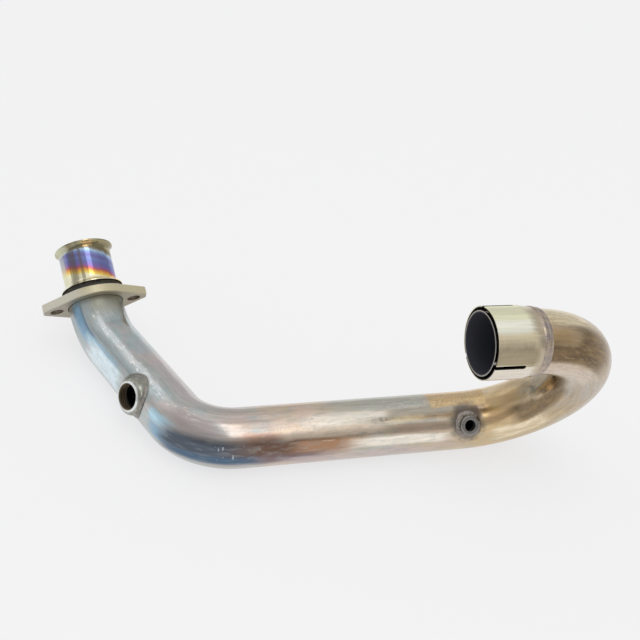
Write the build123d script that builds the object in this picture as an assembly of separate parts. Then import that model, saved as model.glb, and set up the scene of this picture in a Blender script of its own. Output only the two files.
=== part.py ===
from build123d import *
import os
from math import cos, radians, sin

# Header pipe: one mandrel-bent tube that lies on its long run and its oblique run.
pipe_od = 38.1
pipe_wall = 1.2
long_run = 149.0
oblique_run = 92.0
port_run = 10.5
outlet_run = 31.0
knee_angle = 72.0
knee_radius = 38.0
port_bend_angle = 40.0
port_bend_radius = 57.0
port_bend_lean = 9.5
return_bend_angle = 178.0
return_bend_radius = 56.0
return_bend_lean = 30.0

# Slip end of the pipe, sized down inside the outlet sleeve.
slip_step = 0.25
slip_length = 22.0
slip_proud = 1.0
slip_edge_break = 0.25

# Outlet sleeve: swaged on to the pipe at its neck, open and slotted at its mouth.
sleeve_wall = 1.15
sleeve_ring_gap = 1.35
sleeve_neck_start = 0.2
sleeve_neck_land = 1.6
sleeve_swage_length = 5.5
sleeve_swage_round = 12.0
slot_count = 3
slot_width = 2.5
slot_length = 18.8
slot_turn = 21.0

# Bead round the edge of the sleeve's neck: one pass lies on the pipe, the other on the neck.
sleeve_bead_width = 6.0
sleeve_bead_reach = 1.5
sleeve_pipe_pass = 0.75
sleeve_bead_valley = 0.6
sleeve_neck_pass = 0.3

# Port collar: turned spigot with a flared seat at the pipe and a thin flared lip at the head.
collar_length = 31.6
collar_bore_step = 1.25
collar_wall = 1.7
seat_overhang = 2.45
seat_rim = 0.8
seat_flare_height = 4.6
lip_overhang = 2.2
lip_rim = 0.9
lip_flare_height = 4.2
collar_weld_leg = 0.9

# Port flange: loose plate with two stud holes, round in the middle and cut flat at the ends.
flange_thickness = 6.2
flange_rim = 6.0
flange_end_margin = 4.8
flange_end_width = 6.4
flange_bore_clearance = 0.55
flange_weld_clearance = 0.3
flange_edge_break = 0.6
flange_turn = -9.4
flange_slide = 0.7
stud_hole_diameter = 9.0
stud_web = 3.2

# Sensor bung on the oblique run.
bung_from_knee = 27.6
bung_lean = 72.5
bung_tilt = 9.0
bung_stand_off = 4.2
bung_bore = 16.4
bung_face_wall = 1.2
bung_nose_step = 0.8
bung_nose_height = 0.9
bung_shoulder_height = 2.6
bung_body_step = 2.2
bung_lead_in = 0.5
bung_bead_width = 2.2
bung_bead_height = 1.2
bung_bead_round = 0.7

# Small threaded boss on the long run, beside the start of the return bend.
boss_before_bend = 2.0
boss_lean = 62.3
boss_stand_off = 3.7
boss_bore = 6.8
boss_wall = 3.1
boss_edge_break = 0.6
boss_lead_in = 0.6
boss_bead_width = 2.6
boss_bead_height = 1.2
boss_bead_round = 0.7

# Sizes that follow from the ones above.
pipe_radius = pipe_od / 2
bore_radius = pipe_radius - pipe_wall
slip_od = pipe_od - 2 * slip_step
collar_bore = 2 * (bore_radius - collar_bore_step)
collar_od = collar_bore + 2 * collar_wall
seat_od = pipe_od + 2 * seat_overhang
lip_od = collar_od + 2 * lip_overhang
flange_bore = pipe_od + 2 * flange_bore_clearance
flange_middle_diameter = flange_bore + 2 * flange_rim
stud_spacing = flange_bore + stud_hole_diameter + 2 * stud_web
flange_length = stud_spacing + stud_hole_diameter + 2 * flange_end_margin
bung_face_diameter = bung_bore + 2 * bung_face_wall
bung_nose_diameter = bung_face_diameter + 2 * bung_nose_step
bung_body_diameter = bung_nose_diameter + 2 * bung_body_step
boss_diameter = boss_bore + 2 * boss_wall
up = Vector(0, 0, 1)


# A place is a plane across the tube: its normal is the way ahead, its x the side that a bend turns to.
def run_end(start, length):
    return Plane(start.origin + start.z_dir * length, start.x_dir, start.z_dir)


def bend_end(start, angle, bend_radius):
    turn = radians(angle)
    centre = start.origin + start.x_dir * bend_radius
    origin = centre + (start.z_dir * sin(turn) - start.x_dir * cos(turn)) * bend_radius
    heading = start.z_dir * cos(turn) + start.x_dir * sin(turn)
    inward = start.x_dir * cos(turn) - start.z_dir * sin(turn)
    return Plane(origin, inward, heading)


def facing(place, side):
    return Plane(place.origin, side, place.z_dir)


def leaning(side, angle):
    return up * cos(radians(angle)) + side * sin(radians(angle))


# From the knee along the long run to the outlet.
towards_viewer = Vector(0, -1, 0)
long_start = Plane((0, 0, pipe_radius), (0, 1, 0), (1, 0, 0))
return_start = facing(run_end(long_start, long_run), leaning(towards_viewer, return_bend_lean))
outlet_start = bend_end(return_start, return_bend_angle, return_bend_radius)

# From the knee along the oblique run to the port.
knee_start = Plane((0, 0, pipe_radius), (0, 1, 0), (-1, 0, 0))
oblique_start = bend_end(knee_start, knee_angle, knee_radius)
oblique_end = run_end(oblique_start, oblique_run)
inner_side = oblique_start.z_dir.cross(up)
port_bend_start = facing(oblique_end, leaning(inner_side, port_bend_lean))
port_start = bend_end(port_bend_start, port_bend_angle, port_bend_radius)
collar_start = run_end(port_start, port_run)

# The two bosses stand on the pipe's axis and point outwards, the bung a little back towards the knee.
bung_out = leaning(inner_side * -1, bung_lean)
bung_place = Plane(
    run_end(oblique_start, bung_from_knee).origin,
    oblique_start.z_dir * cos(radians(bung_tilt)) + bung_out * sin(radians(bung_tilt)),
    bung_out * cos(radians(bung_tilt)) - oblique_start.z_dir * sin(radians(bung_tilt)),
)
boss_place = Plane(
    run_end(long_start, long_run - boss_before_bend).origin,
    long_start.z_dir,
    leaning(towards_viewer, boss_lean),
)


def rod(place, length, radius):
    return place.location * Cylinder(radius, length, align=(Align.CENTER, Align.CENTER, Align.MIN))


def bent_rod(place, angle, bend_radius, radius):
    pivot = Axis(place.origin + place.x_dir * bend_radius, place.y_dir)
    return revolve(place * Circle(radius), pivot, angle)


# Turned solid about a place's normal, from an outline in radius and height.
def lathe(place, outline):
    return place.location * revolve(make_face(outline), Axis.Z, 360)


def at(radius, height):
    return (radius, 0, height)


def corners(*points):
    return Polyline(*[at(*point) for point in points], close=True)


# Solid rod along the whole path up to the outlet run.
def path_rod(radius):
    pieces = [
        bent_rod(port_bend_start, port_bend_angle, port_bend_radius, radius),
        rod(oblique_start, oblique_run, radius),
        bent_rod(knee_start, knee_angle, knee_radius, radius),
        rod(long_start, long_run, radius),
        bent_rod(return_start, return_bend_angle, return_bend_radius, radius),
    ]
    whole = rod(port_start, port_run, radius)
    for piece in pieces:
        whole += piece
    return whole


def pipe_outside():
    land = outlet_run + slip_proud - slip_length
    slip_radius = slip_od / 2
    slip = lathe(
        run_end(outlet_start, land),
        corners(
            (0, 0),
            (slip_radius, 0),
            (slip_radius, slip_length - slip_edge_break),
            (slip_radius - slip_edge_break, slip_length),
            (0, slip_length),
        ),
    )
    return path_rod(pipe_radius) + rod(outlet_start, land, pipe_radius) + slip


def header_pipe(outside):
    bore = path_rod(bore_radius) + rod(outlet_start, outlet_run + slip_proud, bore_radius)
    bung_hole = rod(bung_place, pipe_od, bung_bore / 2)
    boss_hole = rod(boss_place, pipe_od, boss_bore / 2)
    return outside - bore - bung_hole - boss_hole


def port_collar():
    body = collar_od / 2
    seat = seat_od / 2
    lip = lip_od / 2
    bore = collar_bore / 2
    seat_top = seat_rim + seat_flare_height
    lip_start = collar_length - lip_rim - lip_flare_height
    outline = Curve() + [
        Polyline(at(bore, collar_length), at(bore, 0), at(seat, 0), at(seat, seat_rim)),
        TangentArc(at(body, seat_top), at(seat, seat_rim), tangent=(0, 0, -1)),
        Line(at(body, seat_top), at(body, lip_start)),
        TangentArc(at(body, lip_start), at(lip, collar_length - lip_rim), tangent=(0, 0, 1)),
        Polyline(at(lip, collar_length - lip_rim), at(lip, collar_length), at(bore, collar_length)),
    ]
    return lathe(collar_start, outline)


def collar_weld():
    outline = corners((pipe_radius, 0), (pipe_radius, -collar_weld_leg), (pipe_radius + collar_weld_leg, 0))
    return lathe(collar_start, outline)


# The plate has slid down the pipe and just on to the bend.
def port_flange():
    half_length = flange_length / 2
    half_end = flange_end_width / 2
    bore = flange_bore / 2
    outline = make_hull(
        [
            Edge.make_circle(flange_middle_diameter / 2),
            Edge.make_line((half_length, -half_end), (half_length, half_end)),
            Edge.make_line((-half_length, -half_end), (-half_length, half_end)),
        ]
    )
    plate = extrude(outline, flange_thickness)
    rims = plate.faces().filter_by(Axis.Z).edges()
    plate = chamfer(rims, flange_edge_break)
    plate -= Cylinder(bore, 4 * flange_thickness)
    weld_relief = collar_weld_leg + flange_weld_clearance - flange_bore_clearance
    plate -= revolve(
        make_face(
            corners(
                (0, flange_thickness - weld_relief),
                (bore, flange_thickness - weld_relief),
                (bore + weld_relief, flange_thickness),
                (0, flange_thickness),
            )
        ),
        Axis.Z,
        360,
    )
    for side in (-1, 1):
        hole = Cylinder(stud_hole_diameter / 2, 4 * flange_thickness)
        plate -= Pos(side * stud_spacing / 2, 0, 0) * hole
    level = facing(run_end(port_start, -flange_slide), port_start.z_dir.cross(up).normalized())
    return level.location * Rot(0, 0, flange_turn) * plate


def sensor_bung(outside):
    face = pipe_radius + bung_stand_off
    nose = face - bung_nose_height
    shoulder = nose - bung_shoulder_height
    thread = bung_bore / 2
    blank = lathe(
        bung_place,
        corners(
            (thread, 0),
            (bung_body_diameter / 2, 0),
            (bung_body_diameter / 2, shoulder),
            (bung_nose_diameter / 2, nose),
            (bung_face_diameter / 2, face),
            (thread + bung_lead_in, face),
            (thread, face - bung_lead_in),
        ),
    )
    return blank - outside


def threaded_boss(outside):
    face = pipe_radius + boss_stand_off
    thread = boss_bore / 2
    wall = boss_diameter / 2
    blank = lathe(
        boss_place,
        corners(
            (thread, 0),
            (wall, 0),
            (wall, face - boss_edge_break),
            (wall - boss_edge_break, face),
            (thread + boss_lead_in, face),
            (thread, face - boss_lead_in),
        ),
    )
    return blank - outside


# Bead that follows the pipe's curve round the foot of a boss.
def saddle_bead(place, boss, bore, foot_diameter, width, height, edge_round, outside):
    foot = foot_diameter / 2
    ring = rod(place, pipe_od, foot + width) - rod(place, pipe_od, bore / 2)
    bead = (ring & path_rod(pipe_radius + height)) - outside - boss
    middle = foot + width / 2
    crest = [edge for edge in bead.edges() if on_crest(place, edge @ 0.5, middle, height / 2, outside)]
    return fillet(crest, edge_round)


# Is this point on the outer wall of a bead, and off the pipe?
def on_crest(place, point, middle_radius, middle_height, outside):
    local = place.to_local_coords(point)
    off_axis = (local.X**2 + local.Y**2) ** 0.5
    return off_axis > middle_radius and outside.distance_to(point) > middle_height


def swaged(neck, body, end):
    land_end = sleeve_neck_start - sleeve_bead_reach + sleeve_bead_width / 2 + sleeve_neck_land
    swage_end = land_end + sleeve_swage_length
    wall = FilletPolyline(
        at(neck, sleeve_neck_start),
        at(neck, land_end),
        at(body, swage_end),
        at(body, end),
        radius=sleeve_swage_round,
    )
    ends = Polyline(at(body, end), at(0, end), at(0, sleeve_neck_start), at(neck, sleeve_neck_start))
    return lathe(outlet_start, Curve() + [wall, ends])


def outlet_sleeve():
    inside = slip_od / 2 + sleeve_ring_gap
    shell = swaged(pipe_radius + sleeve_wall, inside + sleeve_wall, outlet_run)
    shell -= swaged(pipe_radius, inside, outlet_run)
    top = facing(run_end(outlet_start, outlet_run), up - outlet_start.z_dir * up.dot(outlet_start.z_dir))
    depth = slot_length - slot_width / 2
    reach = inside + 2 * sleeve_wall
    from_inside = (Align.MIN, Align.CENTER, Align.MAX)
    for number in range(slot_count):
        turn = slot_turn + number * 360 / slot_count
        cut = Box(reach, slot_width, depth, align=from_inside)
        round_end = Pos(0, 0, -depth) * Rot(0, 90, 0) * Cylinder(
            slot_width / 2, reach, align=(Align.CENTER, Align.CENTER, Align.MIN)
        )
        shell -= top.location * Rot(0, 0, turn) * (cut + round_end)
    return shell


# Its foot runs out over the end of the bend, clear of the bend's inner side.
def sleeve_weld():
    half = sleeve_bead_width / 2
    reach = sleeve_bead_reach
    neck = pipe_radius + sleeve_wall
    bend_side = reach - sleeve_neck_start
    inner_bend = return_bend_radius - pipe_radius
    foot = return_bend_radius - (inner_bend**2 - (half + bend_side) ** 2) ** 0.5
    valley = at(pipe_radius + sleeve_bead_valley, 0)
    outline = Curve() + [
        Polyline(at(neck, half), at(neck, reach), at(pipe_radius, reach), at(pipe_radius, bend_side)),
        Line(at(pipe_radius, bend_side), at(foot, -half)),
        ThreePointArc(at(foot, -half), at(pipe_radius + sleeve_pipe_pass, -half / 2), valley),
        ThreePointArc(valley, at(neck + sleeve_neck_pass, half / 2), at(neck, half)),
    ]
    return lathe(run_end(outlet_start, sleeve_neck_start - reach), outline)


outside = pipe_outside()
bung = sensor_bung(outside)
boss = threaded_boss(outside)
nodes = {
    "header_pipe": header_pipe(outside),
    "port_collar": port_collar(),
    "collar_weld": collar_weld(),
    "port_flange": port_flange(),
    "sensor_bung": bung,
    "bung_weld": saddle_bead(
        bung_place,
        bung,
        bung_bore,
        bung_body_diameter,
        bung_bead_width,
        bung_bead_height,
        bung_bead_round,
        outside,
    ),
    "threaded_boss": boss,
    "boss_weld": saddle_bead(
        boss_place,
        boss,
        boss_bore,
        boss_diameter,
        boss_bead_width,
        boss_bead_height,
        boss_bead_round,
        outside,
    ),
    "outlet_sleeve": outlet_sleeve(),
    "sleeve_weld": sleeve_weld(),
}

# The origin is on the table, under the middle of the header's box.
box = Compound([solid for node in nodes.values() for solid in node.solids()]).bounding_box()
to_middle = Pos(-box.center().X, -box.center().Y, 0)

os.makedirs("parts", exist_ok=True)
for name, node in nodes.items():
    export_step(to_middle * node, f"parts/{name}.step")
    print(name, "volume", round(node.volume), "mm3")
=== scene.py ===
import bpy
from math import atan2, cos, hypot, radians, sin, sqrt, tan
from mathutils import Matrix, Quaternion, Vector, noise


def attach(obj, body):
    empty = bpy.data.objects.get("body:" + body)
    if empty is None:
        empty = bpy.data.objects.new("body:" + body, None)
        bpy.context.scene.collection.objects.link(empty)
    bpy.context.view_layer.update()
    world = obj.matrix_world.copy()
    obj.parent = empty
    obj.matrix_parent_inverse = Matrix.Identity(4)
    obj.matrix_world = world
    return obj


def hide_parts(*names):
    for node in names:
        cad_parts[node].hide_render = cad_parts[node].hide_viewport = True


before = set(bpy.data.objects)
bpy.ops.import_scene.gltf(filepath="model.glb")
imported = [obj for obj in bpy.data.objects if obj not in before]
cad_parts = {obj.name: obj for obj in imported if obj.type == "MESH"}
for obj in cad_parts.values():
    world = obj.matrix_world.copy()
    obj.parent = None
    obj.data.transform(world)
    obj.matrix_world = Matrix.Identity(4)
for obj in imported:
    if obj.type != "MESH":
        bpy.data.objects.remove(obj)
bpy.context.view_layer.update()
up = Vector((0, 0, 1))
front = Vector((0, -1, 0))
tiny = 1e-6
print("frame loaded")


# a place on the tube's line: point, way ahead, side that a bend turns to
def runOn(place, length):
    return {**place, "point": place["point"] + place["ahead"] * length}


def bendOn(place, angle, radius):
    ahead, side = place["ahead"], place["side"]
    middle = place["point"] + side * radius
    return {
        "point": middle + (ahead * sin(angle) - side * cos(angle)) * radius,
        "ahead": ahead * cos(angle) + side * sin(angle),
        "side": side * cos(angle) - ahead * sin(angle),
    }


def turnedTo(place, side):
    return {**place, "side": side}


def backwards(place):
    return {**place, "ahead": -place["ahead"]}


def leaning(side, angle):
    return up * cos(angle) + side * sin(angle)


tube = {
    "radius": 0.01905,
    "wall": 0.0012,
    "kneePoint": (-0.0566051, -0.0584016, 0.01905),
    "longRun": 0.149,
    "obliqueRun": 0.092,
    "portRun": 0.0105,
    "outletRun": 0.031,
    "slipLength": 0.022,
    "slipProud": 0.001,
    "slipStep": 0.00025,
    "knee": (radians(72), 0.038),
    "portBend": (radians(40), 0.057),
    "portLean": radians(9.5),
    "returnBend": (radians(178), 0.056),
    "returnLean": radians(30),
    "sides": 112,
    "holeSides": 96,
    "bendStep": radians(2.5),
    "smooth": radians(35),
}
pipeEnd = tube["outletRun"] + tube["slipProud"]
slipLand = pipeEnd - tube["slipLength"]

# the line from the knee to the outlet, then from the knee to the port
kneeEnd = {"point": Vector(tube["kneePoint"]), "ahead": Vector((1, 0, 0)), "side": Vector((0, 1, 0))}
returnStart = turnedTo(runOn(kneeEnd, tube["longRun"]), leaning(front, tube["returnLean"]))
outletStart = bendOn(returnStart, *tube["returnBend"])
obliqueStart = bendOn(backwards(kneeEnd), *tube["knee"])
obliqueEnd = runOn(obliqueStart, tube["obliqueRun"])
innerSide = obliqueStart["ahead"].cross(up)
portBendStart = turnedTo(obliqueEnd, leaning(innerSide, tube["portLean"]))
portStart = bendOn(portBendStart, *tube["portBend"])
collarStart = runOn(portStart, tube["portRun"])
slipStart = runOn(outletStart, slipLand)

# the same line as one list, from the port to the outlet
spans = [
    {"start": backwards(collarStart), "length": tube["portRun"]},
    {"start": backwards(portStart), "bend": tube["portBend"]},
    {"start": backwards(obliqueEnd), "length": tube["obliqueRun"]},
    {"start": backwards(obliqueStart), "bend": tube["knee"]},
    {"start": kneeEnd, "length": tube["longRun"]},
    {"start": returnStart, "bend": tube["returnBend"]},
    {"start": outletStart, "length": pipeEnd},
]


# the upper side of the tube, carried round a bend
def carried(span, above, turn):
    if "bend" not in span:
        return above
    return Quaternion(span["start"]["ahead"].cross(span["start"]["side"]), turn) @ above


travelled = 0
above = carried(spans[1], up, -tube["portBend"][0])
for span in spans:
    span["from"] = travelled
    span["above"] = above
    if "bend" in span:
        span["length"] = span["bend"][0] * span["bend"][1]
        span["middle"] = span["start"]["point"] + span["start"]["side"] * span["bend"][1]
        above = carried(span, above, span["bend"][0])
    travelled += span["length"]
kneeFrom, returnFrom = spans[3]["from"], spans[5]["from"]


# the nearest spot on a span's line: point, way ahead, upper side, way from the port
def lineSpot(span, point):
    start = span["start"]
    if "bend" in span:
        angle, radius = span["bend"]
        arm = point - span["middle"]
        turn = min(max(atan2(arm.dot(start["ahead"]), -arm.dot(start["side"])), 0), angle)
        spot = bendOn(start, turn, radius)
        return spot["point"], spot["ahead"], carried(span, span["above"], turn), span["from"] + turn * radius
    reach = min(max((point - start["point"]).dot(start["ahead"]), 0), span["length"])
    return start["point"] + start["ahead"] * reach, start["ahead"], span["above"], span["from"] + reach


# where a point would lie if the tube were straightened: across, above, along
def straightened(point):
    spots = [lineSpot(span, point) for span in spans]
    middle, ahead, above, along = min(spots, key=lambda spot: (point - spot[0]).length)
    off = point - middle
    return off.dot(ahead.cross(above)), off.dot(above), along


def deselect():
    if bpy.context.object and bpy.context.object.mode != "OBJECT":
        bpy.ops.object.mode_set(mode="OBJECT")
    bpy.ops.object.select_all(action="DESELECT")


def makeActive(piece):
    deselect()
    piece.select_set(True)
    bpy.context.view_layer.objects.active = piece


def named(name):
    piece = bpy.context.object
    piece.name = name
    return piece


def applyTo(piece, modifier):
    makeActive(piece)
    bpy.ops.object.modifier_apply(modifier=modifier.name)


def editAll():
    bpy.ops.object.mode_set(mode="EDIT")
    bpy.ops.mesh.select_all(action="SELECT")


# turns all faces outwards and leaves edit mode
def faceOut():
    bpy.ops.mesh.select_all(action="SELECT")
    bpy.ops.mesh.normals_make_consistent(inside=False)
    bpy.ops.object.mode_set(mode="OBJECT")


def pullOn(step):
    bpy.ops.mesh.extrude_region_move(TRANSFORM_OT_translate={"value": step})


def placeMatrix(point, ahead, side):
    across = (side - ahead * side.dot(ahead)).normalized()
    turn = Matrix((across, ahead.cross(across), ahead)).transposed()
    return Matrix.Translation(point) @ turn.to_4x4()


def settle(piece, matrix):
    piece.data.transform(matrix)
    piece.data.update()


def cutWith(piece, tool):
    cut = piece.modifiers.new("cut", "BOOLEAN")
    cut.operation = "DIFFERENCE"
    cut.object = tool
    cut.solver = "EXACT"
    applyTo(piece, cut)
    bpy.data.objects.remove(tool)


def smoothShade(piece, angle):
    makeActive(piece)
    bpy.ops.object.shade_smooth_by_angle(angle=angle)


def plainRod(name, matrix, radius, length):
    deselect()
    sides, middle = tube["holeSides"], (0, 0, length / 2)
    bpy.ops.mesh.primitive_cylinder_add(vertices=sides, radius=radius, depth=length, location=middle)
    bpy.ops.object.transform_apply(location=True, rotation=True, scale=True)
    rod = named(name)
    settle(rod, matrix)
    return rod


def openCircle(name, sides, radius, height=0):
    deselect()
    middle = (0, 0, height)
    bpy.ops.mesh.primitive_circle_add(vertices=sides, radius=radius, fill_type="NOTHING", location=middle)
    bpy.ops.object.transform_apply(location=True, rotation=True, scale=True)
    return named(name)


# a ring turned from a closed outline of radius and height
def turnedRing(name, outline, sides):
    radius, height = outline[0]
    ring = openCircle(name, sides, radius, height)
    editAll()
    for newRadius, newHeight in outline[1:] + outline[:1]:
        pullOn((0, 0, newHeight - height))
        grow = newRadius / radius
        bpy.ops.transform.resize(value=(grow, grow, 1), center_override=(0, 0, newHeight))
        radius, height = newRadius, newHeight
    bpy.ops.mesh.select_all(action="SELECT")
    bpy.ops.mesh.remove_doubles(threshold=tiny)
    faceOut()
    return ring


bung = {
    "fromKnee": 0.0276,
    "lean": radians(72.5),
    "tilt": radians(9),
    "standOff": 0.0042,
    "bore": 0.0082,
    "faceWall": 0.0012,
    "noseStep": 0.0008,
    "noseHeight": 0.0009,
    "bodyStep": 0.0022,
    "shoulder": 0.0026,
    "shoulderCurve": [(1, 1), (0.8, 0.55), (0.42, 0.18), (0, 0)],
    "leadIn": 0.0005,
    "threadPitch": 0.0015,
    "threadDepth": 0.0008,
    "edgeRound": 0.00025,
}
boss = {
    "beforeBend": 0.002,
    "lean": radians(62.3),
    "standOff": 0.0037,
    "bore": 0.0034,
    "wall": 0.0031,
    "edge": 0.0006,
    "leadIn": 0.0006,
    "threadPitch": 0.00125,
    "threadDepth": 0.0006,
    "edgeRound": 0.0002,
}
oblique, long = obliqueStart["ahead"], kneeEnd["ahead"]
bungOut = leaning(-innerSide, bung["lean"]) * cos(bung["tilt"]) - oblique * sin(bung["tilt"])
bungPlace = placeMatrix(runOn(obliqueStart, bung["fromKnee"])["point"], bungOut, oblique)
bossSpot = runOn(kneeEnd, tube["longRun"] - boss["beforeBend"])["point"]
bossPlace = placeMatrix(bossSpot, leaning(front, boss["lean"]), long)
sleevePlace = placeMatrix(outletStart["point"], outletStart["ahead"], up)
collarPlace = placeMatrix(collarStart["point"], collarStart["ahead"], collarStart["ahead"].cross(up))


def makePipe():
    first = spans[0]["start"]
    pipe = openCircle("headerTube", tube["sides"], tube["radius"])
    settle(pipe, placeMatrix(first["point"], first["ahead"], up))
    editAll()
    for span in spans[:-1]:
        start = span["start"]
        if "bend" in span:
            angle = span["bend"][0]
            steps = round(angle / tube["bendStep"])
            axis = start["ahead"].cross(start["side"])
            bpy.ops.mesh.spin(
                steps=steps, angle=-angle, center=span["middle"], axis=axis, use_auto_merge=False
            )
        else:
            pullOn(start["ahead"] * span["length"])
    out, step = outletStart["ahead"], tube["slipStep"]
    shrink = 1 - step / tube["radius"]
    pullOn(out * slipLand)
    pullOn(out * step)
    bpy.ops.transform.resize(value=(shrink, shrink, shrink), center_override=slipStart["point"] + out * step)
    pullOn(out * (tube["slipLength"] - 2 * step))
    faceOut()
    wall = pipe.modifiers.new("wall", "SOLIDIFY")
    wall.thickness = tube["wall"]
    wall.offset = -1
    applyTo(pipe, wall)
    for name, place, fitting in [("bungHole", bungPlace, bung), ("bossHole", bossPlace, boss)]:
        hole = fitting["bore"] + fitting["threadDepth"]
        cutWith(pipe, plainRod(name, place, hole, tube["radius"] * 2))
    layStraight(pipe)
    smoothShade(pipe, tube["smooth"])
    return pipe


# keeps the straightened place of each point on the mesh
def layStraight(piece):
    lay = piece.data.attributes.new("straight", "FLOAT_VECTOR", "POINT")
    for vertex in piece.data.vertices:
        lay.data[vertex.index].vector = straightened(vertex.co)


pipe = makePipe()
print("tube", len(pipe.data.polygons), "faces")
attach(pipe, "header")
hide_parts("header_pipe")


# height over the tube's line at which its skin lies, seen along a fitting
def skinHeight(place, ahead, x, y):
    line = place.to_3x3().transposed() @ ahead
    flat = Vector((x, y, 0)) - line * (x * line.x + y * line.y)
    rise = up - line * line.z
    half = flat.dot(rise)
    spare = half**2 - rise.length_squared * (flat.length_squared - tube["radius"] ** 2)
    return (sqrt(spare) - half) / rise.length_squared


# the turn keeps the tap's points off the bore's own; halfTooth, from and past are shares
thread = {"turn": radians(1.1), "steps": 48, "halfTooth": 0.45, "from": 0.7, "past": 1.5}
fittingForm = {"sides": 120, "bevels": 2, "sharp": radians(25), "smooth": radians(30)}


# a screw tap: one tooth wound up through a fitting
def threadTap(name, fitting):
    bore, depth, pitch = fitting["bore"], fitting["threadDepth"], fitting["threadPitch"]
    low = tube["radius"] * thread["from"]
    high = tube["radius"] + fitting["standOff"] * thread["past"]
    inner, half = bore - depth / 2, pitch * thread["halfTooth"]
    tooth = [(bore + depth, low), (inner, low - half), (inner, low + half)]
    tap = openCircle(name, len(tooth), bore)
    for vertex, (reach, height) in zip(tap.data.vertices, tooth):
        vertex.co = (reach * cos(thread["turn"]), reach * sin(thread["turn"]), height)
    wind = tap.modifiers.new("wind", "SCREW")
    wind.screw_offset = pitch
    wind.iterations = round((high - low) / pitch)
    wind.steps = thread["steps"]
    wind.render_steps = thread["steps"]
    applyTo(tap, wind)
    editAll()
    bpy.ops.mesh.fill_holes(sides=0)
    faceOut()
    return tap


# a turned fitting whose foot follows the tube, with a cut thread
def makeFitting(name, place, ahead, fitting, outline):
    ring = turnedRing(name, outline, fittingForm["sides"])
    for vertex in ring.data.vertices:
        if vertex.co.z < tube["wall"]:
            vertex.co.z = skinHeight(place, ahead, vertex.co.x, vertex.co.y) - tube["wall"] / 2
    edges = ring.modifiers.new("edges", "BEVEL")
    edges.width = fitting["edgeRound"]
    edges.segments = fittingForm["bevels"]
    edges.limit_method = "ANGLE"
    edges.angle_limit = fittingForm["sharp"]
    applyTo(ring, edges)
    editAll()
    bpy.ops.mesh.quads_convert_to_tris()
    bpy.ops.object.mode_set(mode="OBJECT")
    cutWith(ring, threadTap(name + "Tap", fitting))
    editAll()
    bpy.ops.mesh.dissolve_degenerate(threshold=tiny)
    bpy.ops.object.mode_set(mode="OBJECT")
    settle(ring, place)
    smoothShade(ring, fittingForm["smooth"])
    return ring


# a bead's section in shares of its width and height, and how it wanders
beadForm = {
    "core": 0.25,
    "coreSides": 16,
    "base": 0.15,
    "swell": 0.85,
    "under": 0.5,
    "fall": 0.2,
    "slant": 2.2,
    "wander": 0.22,
    "wanderRate": 2.5,
    "seed": 100,
    "smooth": radians(60),
}
beads = {
    "bungBead": {"sides": 240, "width": 0.0019, "height": 0.0012, "waves": 34, "wave": 0.06},
    "bossBead": {"sides": 200, "width": 0.0026, "height": 0.0013, "waves": 17, "wave": 0.05},
}


# a weld bead laid round a fitting's foot, wave by wave
def makeSaddleBead(name, place, ahead, foot):
    bead, form = beads[name], beadForm
    core, sides = form["core"], bead["sides"]
    deselect()
    bpy.ops.mesh.primitive_torus_add(
        major_segments=sides, minor_segments=form["coreSides"], major_radius=1, minor_radius=core
    )
    ring = named(name)
    for vertex in ring.data.vertices:
        turn = atan2(vertex.co.y, vertex.co.x)
        out = (hypot(vertex.co.x, vertex.co.y) - 1) / core
        lift = vertex.co.z / core
        wander = noise.noise(Vector((cos(turn), sin(turn), foot * form["seed"])) * form["wanderRate"])
        wave = 1 + bead["wave"] * cos(bead["waves"] * turn + form["slant"] * out) + form["wander"] * wander
        reach = foot + bead["width"] * (form["base"] + form["swell"] * out * wave)
        x, y = reach * cos(turn), reach * sin(turn)
        bulge = form["swell"] * wave if lift > 0 else form["under"]
        rise = bead["height"] * (form["base"] + bulge * lift - form["fall"] * out)
        vertex.co = (x, y, skinHeight(place, ahead, x, y) + rise)
    settle(ring, place)
    smoothShade(ring, form["smooth"])
    return ring


sleeveBead = {
    "outline": [
        (0.01890, -0.0045), (0.01935, -0.0041), (0.01970, -0.0035), (0.01984, -0.0028), (0.01978, -0.0020),
        (0.01964, -0.0013), (0.01988, -0.0009), (0.02032, -0.0005), (0.02050, 0.0002), (0.02044, 0.0009),
        (0.02021, 0.0017), (0.01960, 0.0014), (0.01880, -0.0012),
    ],
    "sides": 296,
    "skin": 0.0008,
    "waves": 74,
    "wave": 0.00005,
    "slant": 900,
    "wander": 0.00035,
    "wanderRate": 3,
    "seed": 0.3,
}


def makeSleeveBead():
    bead = sleeveBead
    ring = turnedRing("sleeveBead", bead["outline"], bead["sides"])
    for vertex in ring.data.vertices:
        turn = atan2(vertex.co.y, vertex.co.x)
        radius = hypot(vertex.co.x, vertex.co.y)
        out = min(max((radius - tube["radius"]) / bead["skin"], 0), 1)
        grow = 1 + out * bead["wave"] * cos(bead["waves"] * turn + vertex.co.z * bead["slant"]) / radius
        wander = noise.noise(Vector((cos(turn), sin(turn), bead["seed"])) * bead["wanderRate"])
        drift = out * bead["wander"] * wander
        vertex.co = (vertex.co.x * grow, vertex.co.y * grow, vertex.co.z + drift)
    settle(ring, sleevePlace)
    smoothShade(ring, beadForm["smooth"])
    return ring


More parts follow.
